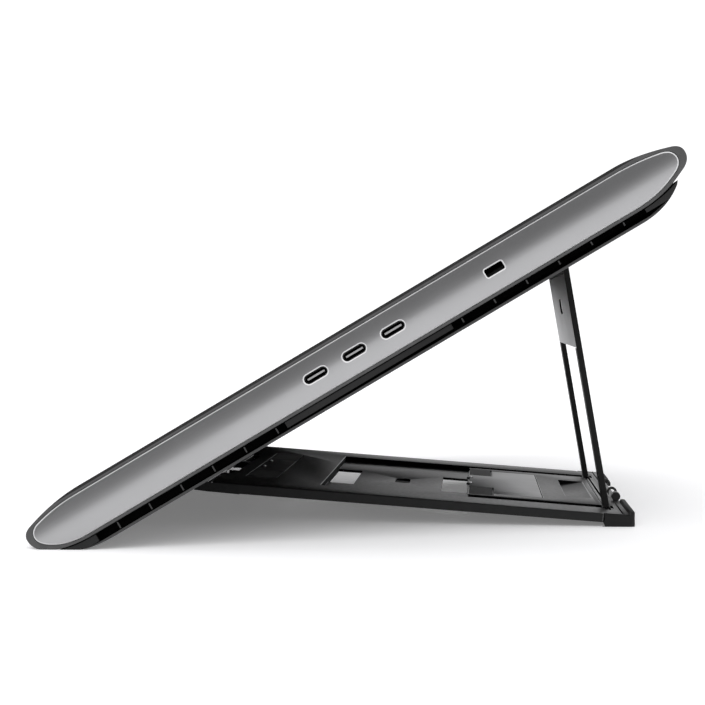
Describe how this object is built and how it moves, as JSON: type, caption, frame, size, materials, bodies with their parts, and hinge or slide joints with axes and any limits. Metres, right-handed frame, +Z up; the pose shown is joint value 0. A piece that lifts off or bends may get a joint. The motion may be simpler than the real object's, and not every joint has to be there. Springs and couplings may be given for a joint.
{
  "type": "pen tablet computer on a folding stand",
  "caption": "Pen tablet computer with grey end panels and side vents, tilted on a hinged base plate and a two-legged prop that fold into its back.",
  "frame": {"origin": "on the table, under the middle of the object's bounding box", "axes": "+X from the tablet's front edge to the stand's rear feet, +Y to the user's left across the tablet's width, +Z up from the table"},
  "size_m": [0.2266, 0.418, 0.1383],
  "materials": {
    "panel_aluminium": "satin anodised",
    "grey_plate": "satin",
    "dark_metal": "dark anodised",
    "base_metal": "dark anodised, lightly worn",
    "leg_metal": "black coated",
    "black_plastic": "fine moulded texture",
    "dark_plastic": "fine moulded texture",
    "display_black": "gloss",
    "pad_rubber": "matt",
    "foot_rubber": "matt",
    "screen_glass": "gloss",
    "steel": "satin",
    "circuit_board": "matt",
    "battery_cell": "matt",
    "copper": "satin"
  },
  "bodies": {
    "tablet": {"chassis_frame": "dark_metal", "back_cover": "black_plastic", "side_panel_right": "panel_aluminium", "side_panel_left": "panel_aluminium", "front_glass": "screen_glass", "display_panel": "display_black", "digitizer_board": "circuit_board", "mainboard": "circuit_board", "heat_pipe": "copper", "catch_bracket": "dark_metal", "lock_slot_insert": "steel", "battery_pack_right": "battery_cell", "battery_pack_left": "battery_cell", "fan_housing_right": "black_plastic", "fan_housing_left": "black_plastic", "hinge_bracket_right": "steel", "hinge_bracket_left": "steel", "usb_c_shell_1": "steel", "usb_c_tongue_1": "black_plastic", "usb_c_shell_2": "steel", "usb_c_tongue_2": "black_plastic", "usb_c_shell_3": "steel", "usb_c_tongue_3": "black_plastic"},
    "base": {"base_plate": "base_metal", "slot_backing": "pad_rubber", "base_hinge_pin": "steel", "rear_tongue_panel": "grey_plate", "front_tongue_panel": "dark_plastic", "prop_hinge_rod": "steel", "spring_clip_middle": "dark_metal", "spring_clip_left": "dark_metal", "spring_clip_right": "dark_metal", "rear_pad_right": "pad_rubber", "rear_pad_left": "pad_rubber", "front_pad_right": "pad_rubber", "front_pad_left": "pad_rubber", "rear_screw_right": "steel", "rear_screw_left": "steel", "front_screw_right": "steel", "front_screw_left": "steel", "rear_foot_right": "foot_rubber", "rear_foot_left": "foot_rubber"},
    "prop": {"prop_leg_right": "leg_metal", "prop_leg_left": "leg_metal", "prop_cross_plate": "grey_plate"},
    "right_rotor": {"fan_rotor_right": "black_plastic"},
    "left_rotor": {"fan_rotor_left": "black_plastic"},
    "power_key": {"power_button": "dark_metal"},
    "volume_up_key": {"volume_up_button": "dark_metal"},
    "volume_down_key": {"volume_down_button": "dark_metal"}
  },
  "joints": [
    {"name": "base_hinge", "type": "hinge", "parent": "tablet", "child": "base", "pos_m": [-0.06353, 0, 0.01597], "axis": [0, 1, 0], "range_deg": [0, 30]},
    {"name": "prop_hinge", "type": "hinge", "parent": "base", "child": "prop", "pos_m": [0.0936, 0, 0.00379], "axis": [0, 1, 0], "range_deg": [-75.9, 0]},
    {"name": "right_fan_spin", "type": "hinge", "parent": "tablet", "child": "right_rotor", "pos_m": [0.06559, -0.166, 0.10211], "axis": [-0.5102, 0, 0.86], "continuous": true},
    {"name": "left_fan_spin", "type": "hinge", "parent": "tablet", "child": "left_rotor", "pos_m": [0.06559, 0.166, 0.10211], "axis": [-0.5102, 0, 0.86], "continuous": true},
    {"name": "power_press", "type": "slide", "parent": "tablet", "child": "power_key", "axis": [0, -1, 0], "range_m": [0, 0.0004], "stiffness_N_per_m": 1500},
    {"name": "volume_up_press", "type": "slide", "parent": "tablet", "child": "volume_up_key", "axis": [0, -1, 0], "range_m": [0, 0.0004], "stiffness_N_per_m": 1500},
    {"name": "volume_down_press", "type": "slide", "parent": "tablet", "child": "volume_down_key", "axis": [0, -1, 0], "range_m": [0, 0.0004], "stiffness_N_per_m": 1500}
  ]
}
